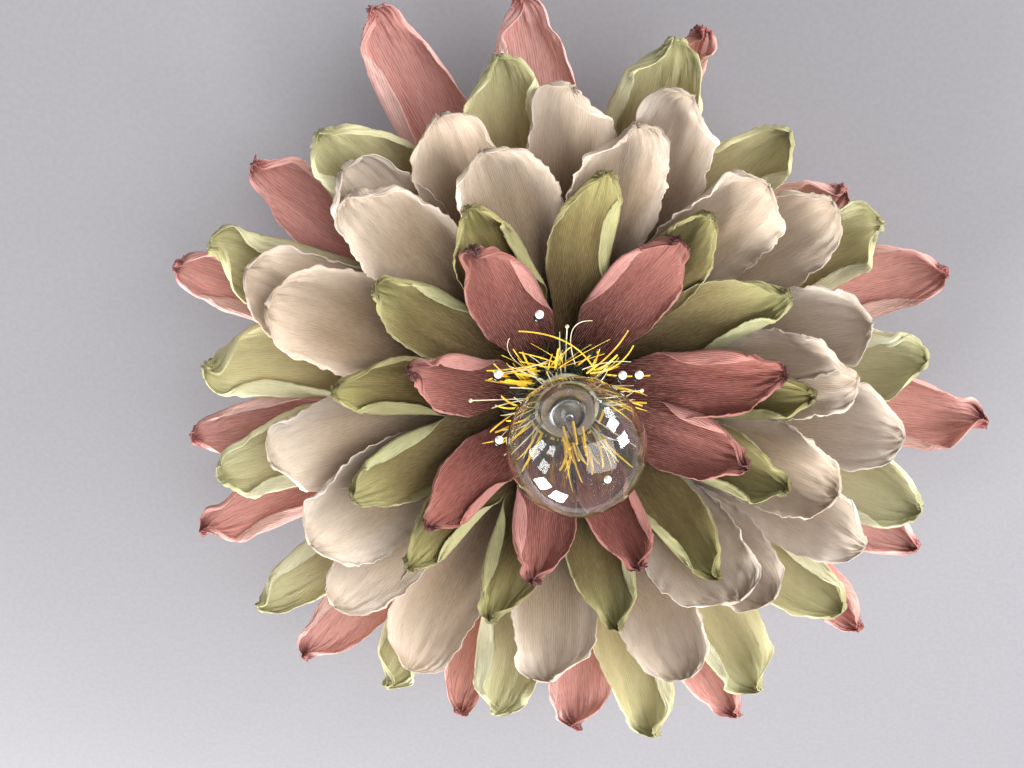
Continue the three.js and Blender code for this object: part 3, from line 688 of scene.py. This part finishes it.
def petal_points(tier, order, u, v, chance):
    """The petal's sheet at u along it and v across it, from -1 to 1.

    It gives the places in millimetres, how far each lies across and along the flat sheet, and
    how much painted highlight its turned-over margin and rim get.
    """
    bearing, extra, width, roll, lift = (*tier["petals"][order], 0, 0)[:5]
    index = TIERS.index(tier)
    next_ring = BEAD_WIRE_FOOT if index == len(TIERS) - 1 else ring_radius(index + 1)
    even = (tier["first"] or 0) + 360 / len(tier["petals"]) * order
    foot_height = (PLATE_THICKNESS + RING_THICKNESS * (index + 1) + PAPER_THICKNESS / 2
                   + (-GLUE_DEPTH if tier["fused"] else SEAT_GAP))
    foot = np.array(polar(next_ring + FOOT_SETBACK, bearing if tier["first"] is None else even, 0))
    run = np.array(polar(tier["reach"] + extra, bearing, 0)) - foot
    length = float(np.linalg.norm(run))
    outward = run / length
    sideways = np.array([-outward[1], outward[0], 0])

    wide_side = 1 if tier["wide_folds"][order] == "L" else -1
    on_wide_side = v * wide_side > 0
    folds = np.radians(np.where(on_wide_side, tier["fold"] * chance.uniform(*WIDE_FOLD),
                                tier["narrow_fold"] * chance.uniform(*NARROW_FOLD)))
    line_places = (chance.uniform(*WIDE_LINE), chance.uniform(*NARROW_LINE))
    torn = ripple(chance, u, v * 0, TORN_WAVES)
    tears = TORN_DEPTH * tier["ruffle"] * torn * smooth_step(0.4, 0.9, u)
    half = half_width(tier, width * tier["spread"], u) * (1 + tears)
    lines = np.where(on_wide_side, *line_places) * width * tier["spread"] / 2 / half
    across, up, tilt = section(tier, folds, lines, u, v)
    sheet = relief(tier, u, v, chance)
    across = across * half - sheet * np.sin(tilt)
    up = up * half + sheet * np.cos(tilt)

    pinch = tier["pinch"]
    twist = math.radians(chance.uniform(-TIP_TWIST, TIP_TWIST)) * pinch * smooth_step(0.9, 1, u)
    turn = math.radians(roll) * smooth_step(0.1, 0.5, u) + twist
    bend = chance.uniform(-1, 1) * SPINE_BEND * length * np.sin(math.pi * u)
    hook = TIP_HOOK * pinch * chance.uniform(*HOOK_SHARES) * smooth_step(0.92, 1, u) ** 2
    side_part = across * np.cos(turn) - up * np.sin(turn) + bend
    up_part = across * np.sin(turn) + up * np.cos(turn)

    climb = tier["rise"] * (CLIMB_EVEN * u + CLIMB_CURVED * u ** 2
                            + CLIMB_UPTURN * u ** UPTURN_POWER)
    steepness = (CLIMB_EVEN + 2 * CLIMB_CURVED * u
                 + UPTURN_POWER * CLIMB_UPTURN * u ** (UPTURN_POWER - 1))
    slope = tier["rise"] * steepness / length
    scale = 1 / np.sqrt(1 + slope ** 2)
    spine_up = np.stack([-outward[0] * slope * scale, -outward[1] * slope * scale, scale], axis=1)
    points = foot + run * u[:, None] + sideways * side_part[:, None] + spine_up * up_part[:, None]
    points -= outward * hook[:, None]
    points[:, 2] += foot_height + climb + lift * smooth_step(0.05, 0.4, u) + HOOK_LIFT * hook

    # The turned-over margin and, on a broad petal, the rim get a painted highlight: paler paper where
    # they catch the light.
    part = np.abs(v)
    margin_highlight = smooth_step(lines - 0.04, lines + 0.1, part) * np.where(on_wide_side, 1, 0.6)
    if tier["rim"] < 1:
        margin_highlight = np.maximum(margin_highlight, 0.8 * smooth_step(tier["rim"], 1, part))
    margin_highlight = margin_highlight * smooth_step(0.2, 0.5, u)
    gathered = half_width(tier, width * tier["spread"], np.minimum(u, 0.88))
    return points, v * np.maximum(half, gathered), u * math.hypot(length, tier["rise"]), margin_highlight


def petal(tier, order, grid):
    """One creped petal: a grid moved into shape, with the map for its ridges and its thickness."""
    chance = random.Random(1000 * TIERS.index(tier) + order)
    sheet = flat_grid(*grid)
    mesh = sheet.data
    count = len(mesh.vertices)
    flat = np.empty(count * 3)
    mesh.vertices.foreach_get("co", flat)
    flat = flat.reshape(-1, 3)
    # Rows crowd towards the tip and columns towards the margins, where the finest folds are.
    u = 1 - (1 - (flat[:, 0] + 1) / 2) ** 1.5
    v = np.sin(flat[:, 1] * math.pi / 2) * 0.35 + flat[:, 1] * 0.65
    points, across, along, margin_highlight = petal_points(tier, order, u, v, chance)
    mesh.vertices.foreach_set("co", (points * MM).ravel())

    uv = mesh.uv_layers[0]
    uv.name = "UVMap"
    corner = np.empty(len(mesh.loops), dtype=int)
    mesh.loops.foreach_get("vertex_index", corner)
    # Each petal is cut from a stretch of crepe of its own.
    shift = 0.13 * order
    places = np.stack([0.5 + across[corner] / UV_MILLIMETRES,
                       along[corner] / UV_MILLIMETRES + shift], axis=1)
    uv.data.foreach_set("uv", places.ravel())
    # How much painted shade the crumpled tip gets
    tip_shade = smooth_step(0.94, 0.985, u) * tier["pinch"]
    tones = np.full(count, chance.random())
    for name, values in (("along", u), ("margin_highlight", margin_highlight), ("tip_shade", tip_shade), ("tone", tones)):
        mesh.attributes.new(name, "FLOAT", "POINT").data.foreach_set("value", values)
    for polygon in mesh.polygons:
        polygon.use_smooth = True
    return thicken(sheet, PAPER_THICKNESS)


def ring_radius(index):
    """Radius of the ring that carries a tier, which shrinks by one step from tier to tier."""
    return INNER_RING_RADIUS + RING_STEP * (len(TIERS) - 1 - index)


def make_tiers():
    for index, tier in enumerate(TIERS):
        name = tier["name"]
        inner = not tier["fused"]
        grid = INNER_GRID if inner else OUTER_GRID
        sheets = [petal(tier, order, grid) for order in range(len(tier["petals"]))]
        base = PLATE_THICKNESS + RING_THICKNESS * index
        board = ring(ring_radius(index), RING_BORE, base, RING_THICKNESS)
        if inner:
            settle(board, name + "_board", WRAPS[name], [name + "_ring"])
            for order, sheet in enumerate(sheets):
                node = f"{name}_petal_{order + 1}"
                settle(sheet, node + "_paper", CREPE[name], [node])
            continue
        for item, material in [(sheet, CREPE[name]) for sheet in sheets] + [(board, WRAPS[name])]:
            item.data.materials.clear()
            item.data.materials.append(material)
        settle(join(sheets + [board], name), name + "_paper", None, [name + "_tier"])


# Hub

def make_back_plate():
    deselect()
    bpy.ops.mesh.primitive_cylinder_add(vertices=128, radius=PLATE_RADIUS * MM,
                                        depth=PLATE_THICKNESS * MM,
                                        location=(0, 0, PLATE_THICKNESS / 2 * MM))
    plate = bpy.context.object
    bpy.ops.mesh.primitive_cylinder_add(vertices=32, radius=CABLE_HOLE_RADIUS * MM,
                                        depth=PLATE_THICKNESS * 4 * MM,
                                        location=(CABLE_HOLE_OFFSET * MM, 0, 0))
    drill = bpy.context.object
    hole = plate.modifiers.new("Cable hole", "BOOLEAN")
    hole.operation = "DIFFERENCE"
    hole.object = drill
    soften(plate, BOARD_EDGE, 2)
    bpy.data.objects.remove(drill)
    settle(plate, "back_plate_board", CARD, ["back_plate"])


def make_lampholder():
    body = turned([(0.5, HOLDER_FLOOR_BASE), (HOLDER_SKIRT_BORE, HOLDER_FLOOR_BASE),
                   (HOLDER_SKIRT_BORE, PLATE_THICKNESS), (HOLDER_RADIUS, PLATE_THICKNESS),
                   (HOLDER_RADIUS, HOLDER_TOP), (HOLDER_BORE, HOLDER_TOP),
                   (HOLDER_BORE, HOLDER_SEAT), (0.5, HOLDER_SEAT)], 64)
    soften(body, HOLDER_EDGE)
    settle(body, "lampholder_moulding", HOLDER, ["lampholder_body"])


# Bulb

def make_bulb():
    profile = [(NECK_RADIUS, NECK_BASE), (NECK_RADIUS, CAP_TOP + 1),
               (NECK_RADIUS + 0.8, CAP_TOP + 4), (NECK_RADIUS + 5, CAP_TOP + 12)]
    for step in range(GLOBE_STEPS + 1):
        angle = math.radians(GLOBE_LOWEST + (90 - GLOBE_LOWEST) * step / GLOBE_STEPS)
        profile.append((max(GLOBE_RADIUS * math.cos(angle), 0.01),
                        GLOBE_CENTRE + GLOBE_RADIUS * math.sin(angle)))
    glass = turned(profile, 96, capped=False)
    wall = glass.modifiers.new("Glass wall", "SOLIDIFY")
    wall.thickness = GLASS_WALL * MM
    wall.offset = -1
    apply_modifiers(glass)
    bpy.ops.object.shade_smooth()
    settle(glass, "globe_glass", GLASS, ["bulb_glass"])

    flare = NECK_RADIUS - GLASS_WALL - SEAT_GAP
    stem = turned([(0.5, STEM_BASE), (flare, STEM_BASE), (flare, STEM_BASE + 2),
                   (flare - 2.4, STEM_BASE + 4.5), (STEM_RADIUS + 1.2, STEM_BASE + 9),
                   (STEM_RADIUS, STEM_BASE + 14),
                   (STEM_RADIUS, STEM_TOP - 3), (STEM_RADIUS - 1.2, STEM_TOP), (0.5, STEM_TOP)], 48)
    settle(stem, "stem_glass", GLASS, ["bulb_stem"])

    edge = CAP_RADIUS - CAP_WALL
    threads = []
    for turn in range(THREAD_TURNS):
        start = CAP_BASE + THREAD_FOOT + THREAD_PITCH * turn
        threads += [(CAP_RADIUS - depth, start + height) for depth, height in THREAD_PROFILE]
    cap = turned([(0.5, CAP_BASE), (CAP_RADIUS - 1.5, CAP_BASE)] + threads
                 + [(CAP_RADIUS, CAP_TOP - 2), (CAP_RADIUS, CAP_TOP), (edge, CAP_TOP),
                    (edge, CAP_TOP - CAP_SOCKET_DEPTH), (0.5, CAP_TOP - CAP_SOCKET_DEPTH)], 64)
    settle(cap, "bulb_cap_thread", CAP_METAL, ["bulb_cap"])
    make_filaments()


def make_filaments():
    sticks = []
    wires = []
    for order in range(FILAMENT_COUNT):
        bearing = 360 * (order + 0.5) / FILAMENT_COUNT
        foot = polar(FILAMENT_CIRCLE, bearing, FILAMENT_BASE)
        head = polar(FILAMENT_CIRCLE - 2, bearing + 8, FILAMENT_TOP)
        sticks += [rod(FILAMENT_RADIUS, foot, head), ball(FILAMENT_RADIUS, foot, 12),
                   ball(FILAMENT_RADIUS, head, 12)]
        below = polar(STEM_RADIUS - 0.3, bearing, FILAMENT_BASE - 3)
        above = polar(STEM_RADIUS - 1.5, bearing, STEM_TOP - 0.5)
        wires += [rod(LEAD_RADIUS, below, foot, 8), rod(LEAD_RADIUS, above, head, 8)]
    settle(join(sticks, "sticks"), "filament_sticks", PHOSPHOR, ["bulb_filaments"])
    settle(join(wires, "wires"), "filament_wires", CAP_METAL, [])


# Stamens and beads

def strip(chance, bearing, root, reach, base, rise, width, drift):
    """A thin cut strip that rises from its collar and bends outwards, twisting a little."""
    ribbon = flat_grid(12, 1)
    turn = math.radians(bearing)
    outward = Vector((math.cos(turn), math.sin(turn), 0))
    sideways = Vector((-outward.y, outward.x, 0))
    sway = chance.uniform(-drift, drift)
    curl = chance.uniform(*STRIP_CURL)
    roll = math.radians(chance.uniform(-STRIP_ROLL, STRIP_ROLL))
    spiral = math.radians(chance.uniform(-STRIP_SPIRAL, STRIP_SPIRAL))
    for vertex in ribbon.data.vertices:
        t = (vertex.co.x + 1) / 2
        radial = root + (reach - root) * (0.9 * t * (1 - t) + t * t)
        height = base + rise * (1.4 * t * (1 - t) + t * t) - curl * t ** 4
        angle = roll + spiral * t
        place = outward * radial + sideways * (sway * t * t) + Vector((0, 0, height))
        across = sideways * math.cos(angle) + Vector((0, 0, math.sin(angle)))
        vertex.co = (place + across * (vertex.co.y * width / 2 * (1 - 0.35 * t ** 4))) * MM
    return thicken(ribbon, STRIP_THICKNESS)


def arc(start, middle, end, width):
    """A thin cut strip from one place to another, bent towards a third."""
    ribbon = flat_grid(16, 1)
    for vertex in ribbon.data.vertices:
        t = (vertex.co.x + 1) / 2
        place = start * (1 - t) ** 2 + middle * 2 * t * (1 - t) + end * t * t
        run = (middle - start) * (1 - t) + (end - middle) * t
        across = run.cross(Vector((0, 0, 1))).normalized()
        vertex.co = (place + across * (vertex.co.y * width / 2)) * MM
    return thicken(ribbon, STRIP_THICKNESS)


def make_stamens():
    for index, kind in enumerate(STAMENS):
        chance = random.Random(70 + index)
        name = kind["name"]
        root, base, width = kind["root"], kind["base"], kind["width"]
        pieces = [ring(root + COLLAR_RIM, COLLAR_BORE, base + COLLAR_GAP, COLLAR_THICKNESS)]
        for bearing, spread, number, least, greatest, low, high, drift in kind["bunches"]:
            for _ in range(number):
                pieces.append(strip(
                    chance, bearing + chance.uniform(-spread, spread),
                    root - chance.uniform(0, STRIP_SETBACK), chance.uniform(least, greatest), base + 1,
                    kind["rise"] * chance.uniform(low, high),
                    width * chance.uniform(*STRIP_WIDTHS), drift))
        for owner, *places in ARCS:
            if owner == name:
                ends = [polar(distance, bearing, height) for bearing, distance, height in places]
                pieces.append(arc(*ends, width * ARC_WIDTH))
        if name == "stamens_cream":
            for bearing, distance in KNOTTED_WIRES:
                end = polar(distance, bearing, RINGS_TOP + KNOT_HEIGHT)
                pieces.append(rod(KNOT_WIRE_RADIUS, polar(root, bearing, base + 1), end, 8))
                pieces.append(ball(KNOT_RADIUS, end, 12))
        settle(join(pieces, name + "_strips"), name + "_strips", STRIPS[name], [name])


def make_beads():
    for index, (bearing, distance) in enumerate(BEADS):
        number = index + 1
        foot = polar(BEAD_WIRE_FOOT, bearing, RINGS_TOP + SEAT_GAP + BEAD_WIRE_RADIUS)
        height = RINGS_TOP + BEAD_HEIGHT - 2 * BEAD_RADIUS - SEAT_GAP
        dark = polar(distance, bearing, height) + Vector(BEAD_SAG)
        pale = dark + Vector(BEAD_TILT)
        pin = join([rod(BEAD_WIRE_RADIUS, foot, dark), ball(BEAD_RADIUS, dark)], f"pin_{number}")
        settle(pin, f"bead_pin_{number}_wire", BEAD_BLACK, [f"bead_pin_{number}"])
        settle(ball(BEAD_RADIUS, pale, 32), f"white_bead_{number}_pearl", BEAD_WHITE,
               [f"white_bead_{number}"])


make_tiers()
make_back_plate()
make_lampholder()
make_bulb()
make_stamens()
make_beads()

# Materials of the frame's own pieces
FINISHES = {"lampholder_screw_shell": BRASS, "lampholder_contact": BRASS, "bulb_contact": INSULATOR}
for node, finish in FINISHES.items():
    body = frame["nodes"][node]
    body.data.materials.clear()
    body.data.materials.append(finish)


# Stage, light and camera

# Size in millimetres of the roller's grain in the wall paint
WALL_GRAIN = 1000 / 260


def make_stage():
    """The wall behind the flower, in matt paint: even and pale, with no shine."""
    deselect()
    bpy.ops.mesh.primitive_plane_add(size=9, location=(0, 0, 0))
    floor = bpy.context.object
    floor.name = "pale_wall"
    material, tree, shader = new_material("Matt wall paint")
    place = add(tree, "ShaderNodeTexCoord").outputs["Object"]
    grain = add(tree, "ShaderNodeTexNoise", {"Scale": 1000 / WALL_GRAIN, "Detail": 3.0},
                Vector=place).outputs[0]
    share = add(tree, "ShaderNodeMapRange", {"interpolation_type": "SMOOTHSTEP", "#1": 0.3, "#2": 0.7},
                _0=grain).outputs[0]
    mottle = add(tree, "ShaderNodeMix", {"data_type": "RGBA", "#6": linear("#8d8c90"),
                                         "#7": linear("#89888c")}, _0=share)
    tree.links.new(mottle.outputs[2], shader.inputs["Base Color"])
    shader.inputs["Roughness"].default_value = 0.9
    floor.data.materials.append(material)


def window(name, place, size, power, colour):
    """A soft rectangular light, in metres and watts, that faces the flower."""
    light = bpy.data.lights.new(name, "AREA")
    light.shape = "RECTANGLE"
    light.size, light.size_y = size
    light.energy = power
    light.color = colour
    lamp = bpy.data.objects.new(name, light)
    bpy.context.scene.collection.objects.link(lamp)
    lamp.location = place
    lamp.rotation_euler = (Vector((0, 0, 0.1)) - Vector(place)).to_track_quat("-Z", "Y").to_euler()


def make_light():
    """Low light from the photo's lower left, weaker light from its right, soft light from above."""
    for count, place in enumerate([(-0.83, -2.22, 0.75), (-1.67, -1.68, 0.75)]):
        window(f"Low window left {count + 1}", place, (0.7, 0.95), 80, (1.0, 0.99, 0.97))
    for count, place in enumerate([(1.8, 1.4, 0.6), (2.2, 0.5, 0.6)]):
        window(f"Low window right {count + 1}", place, (0.6, 0.85), 38, (1.0, 0.98, 0.96))
    window("Soft top", (1.3, 0.1, 2.0), (2.0, 2.0), 46, (1.0, 1.0, 1.0))
    world = bpy.data.worlds.new("Room")
    bpy.context.scene.world = world
    world.use_nodes = True
    background = world.node_tree.nodes["Background"]
    background.inputs[0].default_value = linear("#e9e9ee")
    background.inputs[1].default_value = 0.62


def make_camera():
    """The camera of the photograph."""
    camera = bpy.data.cameras.new("Photo camera")
    camera.lens = CAMERA_LENS
    camera.sensor_width = CAMERA_SENSOR
    camera.clip_start = 0.01
    view = bpy.data.objects.new("Photo camera", camera)
    bpy.context.scene.collection.objects.link(view)
    view.location = [value * MM for value in CAMERA_PLACE]
    view.rotation_euler = [math.radians(value) for value in CAMERA_TURN]
    bpy.context.scene.camera = view


make_stage()
make_light()
make_camera()
bpy.context.scene.view_settings.view_transform = "Standard"
